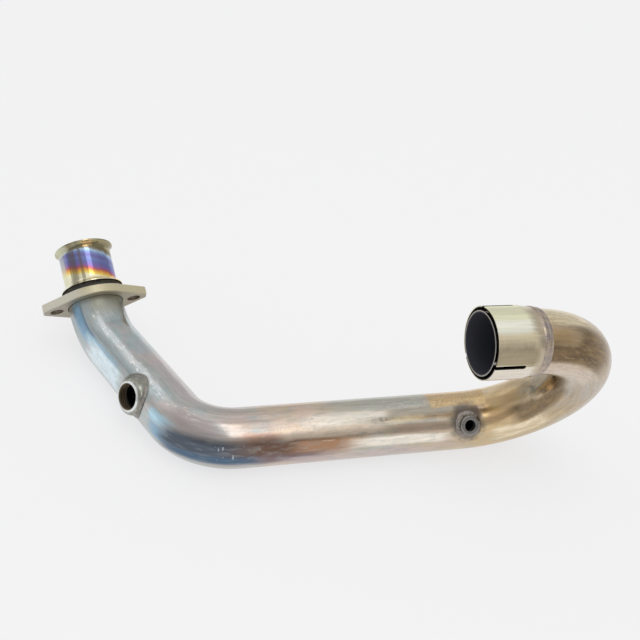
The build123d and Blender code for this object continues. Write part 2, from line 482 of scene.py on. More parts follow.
bungFace = tube["radius"] + bung["standOff"]
bungTop = bungFace - bung["noseHeight"]
bungNose = bung["bore"] + bung["faceWall"] + bung["noseStep"]
bungSide = bungNose + bung["bodyStep"]
bungOutline = [(bung["bore"], 0), (bungSide, 0)]
for out, down in bung["shoulderCurve"]:
    bungOutline.append((bungNose + bung["bodyStep"] * out, bungTop - bung["shoulder"] * down))
bungOutline += [
    (bung["bore"] + bung["faceWall"], bungFace),
    (bung["bore"] + bung["leadIn"], bungFace),
    (bung["bore"], bungFace - bung["leadIn"]),
]
bossFace = tube["radius"] + boss["standOff"]
bossSide = boss["bore"] + boss["wall"]
bossOutline = [
    (boss["bore"], 0),
    (bossSide, 0),
    (bossSide, bossFace - boss["edge"]),
    (bossSide - boss["edge"], bossFace),
    (boss["bore"] + boss["leadIn"], bossFace),
    (boss["bore"], bossFace - boss["leadIn"]),
]
skins = {
    "sensor_bung": makeFitting("sensorBung", bungPlace, oblique, bung, bungOutline),
    "threaded_boss": makeFitting("threadedBoss", bossPlace, long, boss, bossOutline),
    "bung_weld": makeSaddleBead("bungBead", bungPlace, oblique, bungSide),
    "boss_weld": makeSaddleBead("bossBead", bossPlace, long, bossSide),
    "sleeve_weld": makeSleeveBead(),
}
for name, skin in skins.items():
    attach(skin, "header")
    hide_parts(name)
    print(skin.name, len(skin.data.polygons), "faces")

# what the finishes share: mm in a metre, where most noise lies, levels of noise detail
mm = 1000.0
noiseSpan = (0.3, 0.7)
plainDetail, fineDetail, stainDetail = 2.0, 3.0, 4.0


def feed(tree, socket, value):
    if isinstance(value, bpy.types.NodeSocket):
        tree.links.new(value, socket)
    else:
        socket.default_value = value


def addNode(tree, kind, inputs=None, **settings):
    node = tree.nodes.new(kind)
    for name, value in settings.items():
        setattr(node, name, value)
    for key, value in (inputs or {}).items():
        feed(tree, node.inputs[key], value)
    return node


def maths(tree, operation, *values):
    return addNode(tree, "ShaderNodeMath", dict(enumerate(values)), operation=operation).outputs[0]


def times(tree, one, two):
    return maths(tree, "MULTIPLY", one, two)


# vector sums, which give a vector or a number
def vectors(tree, operation, *values, result="Vector"):
    node = addNode(tree, "ShaderNodeVectorMath", dict(enumerate(values)), operation=operation)
    return node.outputs[result]


def parted(tree, spot):
    return addNode(tree, "ShaderNodeSeparateXYZ", {0: spot}).outputs


def fromAxis(tree, x, y):
    flat = addNode(tree, "ShaderNodeCombineXYZ", {"X": x, "Y": y}).outputs[0]
    return vectors(tree, "LENGTH", flat, result="Value")


def degreesRound(tree, y, x):
    return maths(tree, "DEGREES", maths(tree, "ARCTAN2", y, x))


# eases from low to high as the value goes from start to stop
def eased(tree, value, start, stop, low=0.0, high=1.0):
    inputs = {"Value": value, "From Min": start, "From Max": stop, "To Min": low, "To Max": high}
    node = addNode(tree, "ShaderNodeMapRange", inputs, interpolation_type="SMOOTHSTEP", clamp=False)
    return node.outputs[0]


# eases from a share to nothing
def fading(tree, value, limits, share=1.0):
    return eased(tree, value, *limits, share, 0.0)


# brings noise to a range of levels
def levelled(tree, cloud, levels):
    return eased(tree, cloud, *noiseSpan, *levels)


# one inside the limits, easing away over their rims
def between(tree, value, limits):
    rise = eased(tree, value, *limits[:2])
    return times(tree, rise, fading(tree, value, limits[2:]))


# mixes two colours, each a socket or three plain numbers
def mixed(tree, share, one, two, how="MIX"):
    one, two = [(*part, 1) if isinstance(part, tuple) else part for part in (one, two)]
    node = addNode(tree, "ShaderNodeMix", {0: share, 6: one, 7: two}, data_type="RGBA", blend_type=how)
    return node.outputs[2]


def blended(tree, share, one, two):
    return addNode(tree, "ShaderNodeMix", {0: share, 2: one, 3: two}).outputs[0]


# cloudy noise, so many per metre each way
def clouds(tree, spot, perMetre, detail=plainDetail):
    inputs = {"Vector": vectors(tree, "MULTIPLY", spot, perMetre), "Scale": 1.0, "Detail": detail}
    return addNode(tree, "ShaderNodeTexNoise", inputs).outputs["Fac"]


# swings a value by clouds, by each so much either way
def swayed(tree, value, *swings):
    for cloud, amount in swings:
        swing = times(tree, maths(tree, "SUBTRACT", cloud, 0.5), 2 * amount)
        value = maths(tree, "ADD", value, swing)
    return value


def colourBand(tree, value, stops):
    node = addNode(tree, "ShaderNodeValToRGB", {0: value})
    elements = node.color_ramp.elements
    while len(elements) < len(stops):
        elements.new(1.0)
    for element, (spot, colour) in zip(elements, stops):
        element.position = spot
        element.color = (*colour, 1)
    return node.outputs["Color"]


# lays tints over a colour, each in its stretch along (mm) and round (degrees), some of them cloudy
def tinted(tree, colour, along, around, tints, spot=None):
    for tint in tints:
        share = tint.get("share", 1.0)
        if "perMetre" in tint:
            cloud = clouds(tree, spot, tint["perMetre"], stainDetail)
            share = eased(tree, cloud, *tint["limits"], 0.0, share)
        share = times(tree, between(tree, along, tint["along"]), share)
        if "round" in tint:
            share = times(tree, share, between(tree, around, tint["round"]))
        colour = mixed(tree, share, colour, tint["colour"])
    return colour


# darkens and lightens a colour by its brush marks
def brushShaded(tree, colour, brushed, levels):
    low, high = noiseSpan
    inputs = {"Value": brushed, "From Min": low, "From Max": high, "To Min": levels[0], "To Max": levels[1]}
    shade = addNode(tree, "ShaderNodeMapRange", inputs).outputs[0]
    return mixed(tree, 1.0, colour, shade, "MULTIPLY")


# a piece's coordinates as seen from its own place
def seenFrom(tree, matrix):
    spot = addNode(tree, "ShaderNodeTexCoord").outputs["Object"]
    inputs = {"Vector": spot, "Location": matrix.to_translation(), "Rotation": matrix.to_euler()}
    return addNode(tree, "ShaderNodeMapping", inputs, vector_type="TEXTURE").outputs[0]


def emptyTree(holder):
    holder.use_nodes = True
    holder.node_tree.nodes.clear()
    return holder.node_tree


def newLook(name):
    look = bpy.data.materials.new(name)
    tree = emptyTree(look)
    shader = addNode(tree, "ShaderNodeBsdfPrincipled")
    addNode(tree, "ShaderNodeOutputMaterial", {"Surface": shader.outputs[0]})
    return look, tree, shader


# plugs a finish into its shader; bump is strength and distance
def plug(tree, shader, colour, rough, metal, height, bump):
    inputs = {"Height": height, "Strength": bump[0], "Distance": bump[1]}
    normal = addNode(tree, "ShaderNodeBump", inputs).outputs[0]
    feed(tree, shader.inputs["Base Color"], colour)
    feed(tree, shader.inputs["Roughness"], rough)
    feed(tree, shader.inputs["Metallic"], metal)
    feed(tree, shader.inputs["Normal"], normal)


tubeLook = {
    "length": 545.0,
    "tint": [
        (0.00, (0.40, 0.45, 0.46)),
        (0.11, (0.53, 0.59, 0.60)),
        (0.26, (0.55, 0.57, 0.55)),
        (0.33, (0.58, 0.53, 0.49)),
        (0.42, (0.76, 0.60, 0.48)),
        (0.48, (0.62, 0.57, 0.48)),
        (0.56, (0.57, 0.52, 0.44)),
        (0.64, (0.72, 0.54, 0.31)),
        (0.72, (0.62, 0.49, 0.32)),
        (0.82, (0.49, 0.43, 0.37)),
        (0.93, (0.64, 0.54, 0.41)),
        (1.00, (0.70, 0.62, 0.47)),
    ],
    "seam": -60.0,
    "driftGrain": (38, 38, 38),
    "brushGrain": (620, 620, 70),
    "speckleGrain": (420, 420, 420),
    "wanderGrain": (45, 45, 30),
    "smokeGrain": (160, 160, 160),
    "scuffGrain": (560, 560, 900),
    "alongSway": (8.0, 3.0),
    "roundSway": (6.0, 1.2),
    "markSway": (0.8, 1.5),
    "smokeSway": 0.004,
    # near-black for the port end: painted shade of the gap between collar and flange, with some soot
    "sootAndShade": (0.020, 0.021, 0.026),
    "sootAndShadeEnd": (5.0, 10.0),
    "sootAndShadeShare": 0.9,
    "bore": (0.058, 0.060, 0.078),
    "boreEdge": (0.0179, 0.0183),
    "boreMetal": 0.2,
    # dark smoke colour: real smoke round the boss, painted contact shade round the bung's foot, painted dark
    # reflections on the collar
    "smokeAndShade": (0.15, 0.13, 0.115),
    "smokeReach": (0.009, 0.016),
    "smokeAndShadeShare": 0.85,
    "smokeLift": radians(-6),
    "smokeBefore": 0.0005,
    "smokeDull": 0.6,
    "bungShade": (0.0125, 0.0134, 0.0144, 0.0165),
    "bungShare": 0.6,
    "shade": (0.9, 1.08),
    "rough": (0.17, 0.25),
    "dullEnd": (20.0, 46.0),
    "dullShare": 0.4,
    "dullRough": 0.5,
    "scuffs": (150.0, 240.0, 2.6, 0.5),
    "bump": (0.035, 0.0006),
    "stains": [
        {"colour": (0.66, 0.52, 0.49), "perMetre": (90, 90, 50), "limits": (0.47, 0.66),
         "along": (-2, 0, 330, 350), "round": (-62, -61, 105, 160), "share": 0.5},
        {"colour": (0.42, 0.55, 0.58), "perMetre": (84, 84, 58), "limits": (0.48, 0.66),
         "along": (-2, 0, 210, 240), "round": (-62, -61, 105, 160), "share": 0.5},
        {"colour": (0.46, 0.52, 0.47), "perMetre": (75, 75, 45), "limits": (0.50, 0.72),
         "along": (-2, 0, 330, 560), "share": 0.45},
        {"colour": (0.70, 0.52, 0.28), "perMetre": (130, 130, 60), "limits": (0.48, 0.68),
         "along": (180, 230, 420, 470), "share": 0.4},
    ],
    "specks": [
        {"colour": (0.42, 0.30, 0.16), "perMetre": (720, 720, 640), "limits": (0.46, 0.70),
         "along": (312, 316, 354, 358), "round": (-60, -50, 18, 26), "share": 0.45},
        {"colour": (0.92, 0.76, 0.48), "perMetre": (840, 840, 700), "limits": (0.48, 0.70),
         "along": (312, 316, 354, 358), "round": (-60, -50, 18, 26), "share": 0.45},
        {"colour": (0.82, 0.78, 0.66), "perMetre": (760, 760, 420), "limits": (0.54, 0.70),
         "along": (270, 284, 310, 313), "round": (-60, -50, 14, 24), "share": 0.4},
        # white flecks along the oblique run's highlight: painted glints that break up the highlight
        {"colour": (0.95, 0.96, 0.97), "perMetre": (760, 760, 240), "limits": (0.57, 0.66),
         "along": (16, 34, 156, 176), "round": (10, 17, 29, 35), "share": 0.75},
        {"colour": (0.60, 0.44, 0.23), "perMetre": (760, 760, 300), "limits": (0.48, 0.70),
         "along": (345, 380, 540, 560), "share": 0.22},
        {"colour": (0.26, 0.19, 0.10), "perMetre": (690, 690, 320), "limits": (0.52, 0.72),
         "along": (360, 400, 540, 560), "share": 0.32},
        {"colour": (0.42, 0.28, 0.13), "perMetre": (300, 300, 50), "limits": (0.44, 0.68),
         "along": (330, 370, 540, 560), "share": 0.35},
        {"colour": (0.40, 0.42, 0.42), "perMetre": (420, 420, 130), "limits": (0.46, 0.70),
         "along": (-2, 0, 330, 380), "share": 0.3},
        {"colour": (0.84, 0.86, 0.88), "perMetre": (1200, 1200, 800), "limits": (0.68, 0.74),
         "along": (-2, 0, 560, 561), "share": 0.5},
        {"colour": (0.16, 0.13, 0.11), "perMetre": (800, 800, 500), "limits": (0.67, 0.74),
         "along": (180, 240, 560, 561), "share": 0.6},
    ],
}
# heat tints from the port to the outlet, with painted highlights and painted dark reflections among them
tubeTints = [
    {"colour": (0.36, 0.42, 0.47), "along": (60, 130, 180, 220),
     "round": (120, 160, 270, 310), "share": 0.7},
    {"colour": (0.42, 0.33, 0.29), "along": (170, 215, 250, 300),
     "round": (120, 160, 270, 310), "share": 0.7},
    {"colour": (0.50, 0.38, 0.25), "along": (260, 330, 560, 561),
     "round": (120, 160, 250, 310), "share": 0.45},
    {"colour": (0.62, 0.53, 0.53), "along": (84, 104, 150, 172), "round": (-60, -46, -6, 8), "share": 0.6},
    {"colour": (0.42, 0.42, 0.35), "along": (-2, 0, 20, 38), "round": (-50, -40, 20, 40)},
    {"colour": (0.26, 0.43, 0.58), "along": (6, 14, 38, 52), "round": (46, 56, 68, 82)},
    {"colour": (0.40, 0.45, 0.46), "along": (30, 48, 104, 116), "round": (28, 35, 44, 50)},
    {"colour": (0.50, 0.70, 0.84), "along": (36, 48, 84, 98), "round": (47, 56, 68, 76)},
    # pale blue-white patch on the knee's lower side: painted highlight over the light blue heat tint
    {"colour": (0.76, 0.88, 0.93), "along": (44, 60, 90, 102), "round": (55, 66, 94, 112)},
    # painted highlight: the lamp's pale streak along the top of the oblique run
    {"colour": (0.80, 0.83, 0.85), "along": (22, 36, 132, 146), "round": (14, 19, 26, 30), "share": 0.5},
    {"colour": (0.52, 0.74, 0.86), "along": (134, 142, 150, 158), "round": (46, 54, 66, 76)},
    {"colour": (0.32, 0.48, 0.62), "along": (138, 148, 156, 166), "round": (66, 76, 94, 106)},
    {"colour": (0.48, 0.425, 0.415), "along": (150, 158, 170, 184), "round": (18, 28, 58, 70)},
    # navy band low on the knee: dark blue heat tint, partly painted dark reflection of the room
    {"colour": (0.10, 0.16, 0.24), "along": (146, 160, 190, 218), "round": (78, 94, 106, 122)},
    {"colour": (0.24, 0.18, 0.19), "along": (184, 208, 226, 262), "round": (80, 94, 104, 122)},
    # near-black band on the knee's flank: heat tint, partly painted dark reflection of the room
    {"colour": (0.10, 0.12, 0.15), "along": (146, 157, 182, 210), "round": (52, 68, 84, 100)},
    {"colour": (0.44, 0.34, 0.28), "along": (176, 188, 202, 222), "round": (14, 24, 36, 44), "share": 0.5},
    # pinkish band at the start of the long run: painted highlight
    {"colour": (0.63, 0.42, 0.33), "along": (178, 194, 214, 240), "round": (40, 50, 58, 72)},
    # near-black brown band under the long run's highlight: brown heat tint, partly painted dark reflection
    # of the room
    {"colour": (0.17, 0.10, 0.072), "along": (176, 200, 220, 244), "round": (50, 70, 84, 102)},
    {"colour": (0.42, 0.24, 0.14), "along": (212, 236, 244, 280), "round": (52, 69, 82, 102)},
    # light band along the long run: painted highlight of the lamp
    {"colour": (0.90, 0.74, 0.58), "along": (204, 220, 266, 296), "round": (35, 43, 58, 67)},
    # pale cream on the long run's top: painted highlight
    {"colour": (0.92, 0.85, 0.74), "along": (222, 240, 278, 292), "round": (16, 24, 41, 48), "share": 0.7},
    {"colour": (0.95, 0.88, 0.76), "along": (248, 274, 314, 330), "round": (70, 76, 88, 96)},
    # cream band along the long run's highlight: painted highlight
    {"colour": (0.90, 0.80, 0.67), "along": (262, 276, 316, 330), "round": (33, 39, 47, 53)},
    {"colour": (0.45, 0.40, 0.32), "along": (276, 290, 334, 344), "round": (14, 22, 31, 37)},
    {"colour": (0.62, 0.48, 0.36), "along": (280, 296, 322, 334), "round": (50, 55, 68, 75)},
    {"colour": (0.66, 0.55, 0.53), "along": (206, 228, 296, 330),
     "round": (98, 106, 124, 142), "share": 0.7},
    {"colour": (0.51, 0.52, 0.46), "along": (228, 272, 309, 314),
     "round": (-50, -35, 12, 21), "share": 0.8},
    {"colour": (0.86, 0.70, 0.48), "along": (340, 350, 366, 384), "round": (-50, -30, -6, 8)},
    {"colour": (0.46, 0.33, 0.18), "along": (342, 354, 384, 408), "round": (4, 22, 34, 50)},
    # dark brown spot beside the boss: partly the boss's smoke, partly painted shade that dulls the lamp's
    # reflection
    {"colour": (0.22, 0.15, 0.09), "along": (339, 346, 354, 362), "round": (18, 26, 34, 42), "share": 0.85},
    # gold band near the return bend: painted highlight in the gold heat tint
    {"colour": (0.80, 0.55, 0.30), "along": (348, 356, 376, 396), "round": (38, 50, 60, 76)},
    # pale gold on the return bend's near flank: painted highlight
    {"colour": (0.94, 0.80, 0.58), "along": (350, 364, 394, 410), "round": (76, 84, 100, 114)},
    {"colour": (0.23, 0.17, 0.11), "along": (370, 386, 440, 470), "round": (40, 52, 72, 86)},
    {"colour": (0.31, 0.28, 0.22), "along": (384, 410, 450, 500), "round": (0, 18, 34, 50)},
    {"colour": (0.76, 0.64, 0.46), "along": (402, 414, 444, 458), "round": (36, 42, 51, 58)},
    {"colour": (0.66, 0.55, 0.45), "along": (456, 474, 500, 512), "round": (100, 112, 136, 146)},
    {"colour": (0.19, 0.13, 0.075), "along": (458, 476, 518, 530), "round": (138, 150, 172, 184)},
    {"colour": (0.22, 0.15, 0.085), "along": (458, 474, 490, 502), "round": (160, 170, 196, 226)},
    {"colour": (0.13, 0.09, 0.052), "along": (472, 481, 492, 500),
     "round": (148, 158, 178, 190), "share": 0.7},
    {"colour": (0.52, 0.37, 0.21), "along": (490, 504, 514, 530), "round": (172, 182, 198, 212)},
    {"colour": (0.90, 0.78, 0.55), "along": (480, 494, 514, 524), "round": (208, 220, 262, 285)},
    {"colour": (0.34, 0.33, 0.31), "along": (532, 536, 560, 561)},
]
# marks with plain edges: a blue line, a wiped gold patch and a few bright scratches
tubeMarks = [
    {"colour": (0.12, 0.22, 0.36), "along": (12, 18, 46, 60), "round": (49, 51, 53, 56), "share": 0.6},
    {"colour": (0.74, 0.51, 0.25), "along": (313, 314, 357, 359),
     "round": (-40, -34, 20, 26), "share": 0.75},
    {"colour": (0.50, 0.54, 0.58), "along": (178.3, 178.6, 178.9, 179.2),
     "round": (72, 74, 78, 80), "share": 0.6},
    {"colour": (0.50, 0.54, 0.58), "along": (180.0, 180.3, 180.6, 180.9),
     "round": (69, 71, 76, 78), "share": 0.6},
    {"colour": (0.56, 0.62, 0.68), "along": (184.1, 184.4, 184.7, 185.0),
     "round": (84, 86, 94, 96), "share": 0.6},
    {"colour": (0.80, 0.66, 0.52), "along": (238, 239, 246, 247),
     "round": (69, 69.6, 70.4, 71), "share": 0.6},
    {"colour": (0.80, 0.66, 0.52), "along": (256, 257, 263, 264),
     "round": (71, 71.6, 72.4, 73), "share": 0.6},
]


# how far a spot of the straightened tube is from a fitting's foot
def fromFoot(tree, lay, lean, along):
    foot = (tube["radius"] * sin(lean), tube["radius"] * cos(lean), along)
    return vectors(tree, "DISTANCE", lay, foot, result="Value")


def tubeFinish():
    own = tubeLook
    look, tree, shader = newLook("temperedTube")
    lay = addNode(tree, "ShaderNodeAttribute", attribute_name="straight").outputs["Vector"]
    across, above, far = parted(tree, lay)
    along = times(tree, far, mm)
    around = degreesRound(tree, across, above)
    around = maths(tree, "ADD", around, times(tree, maths(tree, "LESS_THAN", around, own["seam"]), 360.0))
    drift = clouds(tree, lay, own["driftGrain"])
    brushed = clouds(tree, lay, own["brushGrain"], fineDetail)
    speckle = clouds(tree, lay, own["speckleGrain"], fineDetail)
    softAlong = swayed(tree, along, *zip((drift, brushed), own["alongSway"]))
    wander = clouds(tree, lay, own["wanderGrain"])
    softAround = swayed(tree, around, *zip((wander, speckle), own["roundSway"]))
    colour = colourBand(tree, maths(tree, "DIVIDE", softAlong, own["length"]), own["tint"])
    colour = tinted(tree, colour, along, around, own["stains"], lay)
    colour = tinted(tree, colour, softAlong, softAround, tubeTints)
    markAlong, markAround = [
        swayed(tree, way, (speckle, sway)) for way, sway in zip((along, around), own["markSway"])
    ]
    colour = tinted(tree, colour, markAlong, markAround, tubeMarks)
    colour = tinted(tree, colour, along, around, own["specks"], lay)
    away = fromFoot(tree, lay, boss["lean"] + own["smokeLift"], returnFrom - own["smokeBefore"])
    away = swayed(tree, away, (clouds(tree, lay, own["smokeGrain"]), own["smokeSway"]))
    smokeAndShade = fading(tree, away, own["smokeReach"], own["smokeAndShadeShare"])
    colour = mixed(tree, smokeAndShade, colour, own["smokeAndShade"])
    # a dark ring round the bung's foot, in the smoke colour: painted contact shade where the bung meets the
    # tube
    bungAlong = kneeFrom - bung["fromKnee"] + tube["radius"] * tan(bung["tilt"])
    away = fromFoot(tree, lay, bung["lean"], bungAlong)
    foot = times(tree, between(tree, away, own["bungShade"]), own["bungShare"])
    colour = mixed(tree, foot, colour, own["smokeAndShade"])
    colour = brushShaded(tree, colour, brushed, own["shade"])
    inside = fading(tree, fromAxis(tree, across, above), own["boreEdge"])
    colour = mixed(tree, inside, colour, own["bore"])
    # the port end under the collar is painted near-black: painted shade of the gap between collar and
    # flange, with some soot
    sootyAndShaded = fading(tree, along, own["sootAndShadeEnd"], own["sootAndShadeShare"])
    colour = mixed(tree, sootyAndShaded, colour, own["sootAndShade"])
    inside = maths(tree, "MAXIMUM", inside, sootyAndShaded)
    dull = maths(tree, "MAXIMUM", inside, times(tree, smokeAndShade, own["smokeDull"]))
    dull = maths(tree, "MAXIMUM", dull, fading(tree, along, own["dullEnd"], own["dullShare"]))
    rough = maths(tree, "ADD", levelled(tree, speckle, own["rough"]), times(tree, dull, own["dullRough"]))
    metal = eased(tree, inside, 0.0, 1.0, 1.0, own["boreMetal"])
    scuffed = clouds(tree, lay, own["scuffGrain"], fineDetail)
    scuffed = times(tree, scuffed, eased(tree, along, *own["scuffs"]))
    plug(tree, shader, colour, rough, metal, maths(tree, "ADD", brushed, scuffed), own["bump"])
    return look


pipe.data.materials.append(tubeFinish())
print("tube tinted")

collarLook = {
    "length": 31.6,
    "slant": 0.3,
    "bands": [
        (0.00, (0.84, 0.80, 0.60)),
        (0.13, (0.96, 0.90, 0.62)),
        (0.18, (0.94, 0.72, 0.20)),
        (0.25, (0.84, 0.40, 0.08)),
        (0.31, (0.48, 0.13, 0.15)),
        (0.37, (0.26, 0.16, 0.40)),
        (0.47, (0.17, 0.19, 0.44)),
        (0.55, (0.20, 0.24, 0.48)),
        (0.63, (0.19, 0.17, 0.40)),
        (0.71, (0.24, 0.32, 0.58)),
        (0.77, (0.46, 0.60, 0.78)),
        (0.81, (0.30, 0.28, 0.22)),
        (0.86, (0.19, 0.17, 0.10)),
        (0.91, (0.25, 0.21, 0.11)),
        (0.95, (0.44, 0.36, 0.19)),
        (1.00, (0.40, 0.38, 0.25)),
    ],
    # angles of two dark vertical streaks: painted reflections of the dark room in the polished collar
    "reflectionStreaks": [(-147, -140, -129, -123), (-120, -117, -114, -111)],
    "streakGrain": (900, 900, 18),
    "driftGrain": (90, 90, 30),
    "bandSway": (2.2, 1.6),
    "streakSway": 6.0,
    "tintSway": 8.0,
    "lip": (25.5, 28.5),
    # the collar's dark streaks use this colour: painted reflection
    "smokeAndShade": (0.16, 0.12, 0.08),
    "smokeAndShadeShare": 0.6,
    "pale": (0.74, 0.74, 0.52),
    "paleReflectionRound": (150.0, 164.0),
    "paleReflectionShare": (8.0, 30.0, 0.75, 0.3),
    "sootAndShade": (0.035, 0.032, 0.028),
    "boreEdge": (0.0166, 0.0172),
    # heights of the flare's underside that are painted near-black: painted shade of the gap over the flange
    "under": (0.05, 0.35),
    "rough": (0.08, 0.16),
    "sootAndShadeRough": 0.5,
    "bump": (0.05, 0.0003),
}
collarTints = [
    {"colour": (0.56, 0.57, 0.44), "along": (25.5, 27, 33, 34),
     "round": (-200, -190, -150, -132), "share": 0.8},
    {"colour": (0.26, 0.25, 0.17), "along": (26, 28, 30.8, 31.4),
     "round": (-136, -128, -114, -104), "share": 0.7},
    # gold band on the lip: painted highlight over the lip's gold heat tint
    {"colour": (0.80, 0.52, 0.24), "along": (26.5, 28, 30.8, 31.4),
     "round": (-108, -100, -88, -80), "share": 0.7},
    {"colour": (0.28, 0.25, 0.16), "along": (26, 28, 31, 32), "round": (-80, -68, 20, 40), "share": 0.6},
]


def collarFinish():
    own = collarLook
    look, tree, shader = newLook("rainbowCollar")
    spot = seenFrom(tree, collarPlace)
    x, y, z = parted(tree, spot)
    height = times(tree, z, mm)
    streak = clouds(tree, spot, own["streakGrain"])
    drift = clouds(tree, spot, own["driftGrain"])
    level = maths(tree, "ADD", height, times(tree, x, mm * own["slant"]))
    level = swayed(tree, level, *zip((streak, drift), own["bandSway"]))
    level = blended(tree, eased(tree, height, *own["lip"]), level, height)
    colour = colourBand(tree, maths(tree, "DIVIDE", level, own["length"]), own["bands"])
    around = degreesRound(tree, y, x)
    # two dark vertical streaks: painted reflections in the polished collar
    for limits in own["reflectionStreaks"]:
        share = between(tree, swayed(tree, around, (streak, own["streakSway"])), limits)
        colour = mixed(tree, times(tree, share, own["smokeAndShadeShare"]), colour, own["smokeAndShade"])
    colour = tinted(tree, colour, height, swayed(tree, around, (streak, own["tintSway"])), collarTints)
    # a pale strip up the collar's far left edge: painted reflection of the pale surroundings, strongest low
    # down
    edge = swayed(tree, maths(tree, "ABSOLUTE", around), (streak, own["streakSway"]))
    edge = times(tree, eased(tree, edge, *own["paleReflectionRound"]), eased(tree, height, *own["paleReflectionShare"]))
    colour = mixed(tree, edge, colour, own["pale"])
    # the bore is sooty, and the flare's underside is painted near-black as well: painted shade of the gap
    # over the flange
    inside = fading(tree, fromAxis(tree, x, y), own["boreEdge"])
    sootedAndShaded = maths(tree, "MAXIMUM", inside, fading(tree, height, own["under"]))
    colour = mixed(tree, sootedAndShaded, colour, own["sootAndShade"])
    rough = maths(tree, "ADD", levelled(tree, streak, own["rough"]), times(tree, sootedAndShaded, own["sootAndShadeRough"]))
    plug(tree, shader, colour, rough, 1.0, streak, own["bump"])
    return look


flangeLook = {
    "champagne": (0.66, 0.59, 0.40),
    "pale": (0.74, 0.71, 0.60),
    "brown": (0.33, 0.29, 0.22),
    "rust": (0.30, 0.17, 0.09),
    "holeDark": (0.24, 0.19, 0.15),
    "cloudGrain": (70, 70, 70),
    "speckGrain": (1300, 1300, 1300),
    "paleReach": (-0.004, -0.026),
    "paleSway": 0.012,
    "shadedBelow": (-0.9, -0.5),
    "shadedBelowSway": 0.2,
    "shadedBelowShare": 0.75,
    "brownSpecks": (0.60, 0.72, 0.0, 0.5),
    "rustClouds": (0.60, 0.75, 0.0, 0.5),
    "turn": radians(-9.4),
    "holeOut": 0.0273,
    "holeDarkReach": (0.0044, 0.0056),
    "holeDarkSway": 0.0006,
    "holeDarkShare": 0.9,
    "rough": (0.38, 0.52),
    "metal": 0.65,
    "bump": (0.12, 0.0003),
}


def flangeFinish():
    own = flangeLook
    look, tree, shader = newLook("champagneFlange")
    spot = seenFrom(tree, collarPlace)
    cloud = clouds(tree, spot, own["cloudGrain"], stainDetail)
    speck = clouds(tree, spot, own["speckGrain"], fineDetail)
    pale = swayed(tree, parted(tree, spot)["X"], (cloud, own["paleSway"]))
    colour = mixed(tree, eased(tree, pale, *own["paleReach"]), own["champagne"], own["pale"])
    # faces turned down towards the pipe are painted darker and browner: painted shade on the flange's
    # underside
    facing = addNode(tree, "ShaderNodeNewGeometry").outputs["Normal"]
    shadedBelow = vectors(tree, "DOT_PRODUCT", facing, tuple(collarStart["ahead"]), result="Value")
    shadedBelow = fading(tree, swayed(tree, shadedBelow, (cloud, own["shadedBelowSway"])), own["shadedBelow"])
    colour = mixed(tree, times(tree, shadedBelow, own["shadedBelowShare"]), colour, own["brown"])
    colour = mixed(tree, eased(tree, speck, *own["brownSpecks"]), colour, own["brown"])
    colour = mixed(tree, eased(tree, cloud, *own["rustClouds"]), colour, own["rust"])
    # darker brown in and round the two stud holes
    flat = seenFrom(tree, collarPlace @ Matrix.Rotation(own["turn"], 4, "Z"))
    x, y = parted(tree, flat)[:2]
    off = maths(tree, "SUBTRACT", maths(tree, "ABSOLUTE", x), own["holeOut"])
    holes = swayed(tree, fromAxis(tree, off, y), (speck, own["holeDarkSway"]))
    colour = mixed(tree, fading(tree, holes, own["holeDarkReach"], own["holeDarkShare"]), colour, own["holeDark"])
    plug(tree, shader, colour, levelled(tree, speck, own["rough"]), own["metal"], speck, own["bump"])
    return look


sleeveLook = {
    "length": 31.0,
    "straw": [
        (0.00, (0.50, 0.42, 0.32)),
        (0.10, (0.58, 0.48, 0.36)),
        (0.24, (0.66, 0.58, 0.42)),
        (0.45, (0.84, 0.78, 0.58)),
        (1.00, (0.88, 0.84, 0.64)),
    ],
    "sootAndShade": (0.030, 0.029, 0.030),
    "brushGrain": (700, 700, 30),
    "crossGrain": (60, 60, 420),
    "driftGrain": (70, 70, 70),
    "alongSway": (2.5, 1.5),
    "roundSway": (4.0, 5.0),
    "shade": (0.9, 1.06),
    "boreEdge": (0.0205, 0.0211),
    "boreFrom": (8.0, 11.0),
    "rough": (0.2, 0.3),
    "boreRough": 0.4,
    "crossHeight": 0.5,
    "bump": (0.03, 0.0005),
}
sleeveTints = [
    {"colour": (0.94, 0.92, 0.66), "along": (6, 12, 40, 42), "round": (-80, -60, 20, 32)},
    # near-white band along the sleeve's top flank: painted highlight
    {"colour": (0.95, 0.94, 0.80), "along": (5, 12, 40, 42), "round": (18, 26, 40, 54)},
    {"colour": (0.88, 0.75, 0.52), "along": (4, 10, 40, 42), "round": (38, 52, 64, 76)},
    {"colour": (0.35, 0.28, 0.18), "along": (2, 8, 40, 42), "round": (60, 74, 92, 102), "share": 0.9},
    {"colour": (0.82, 0.75, 0.64), "along": (4, 9, 40, 42), "round": (96, 104, 140, 170)},
]


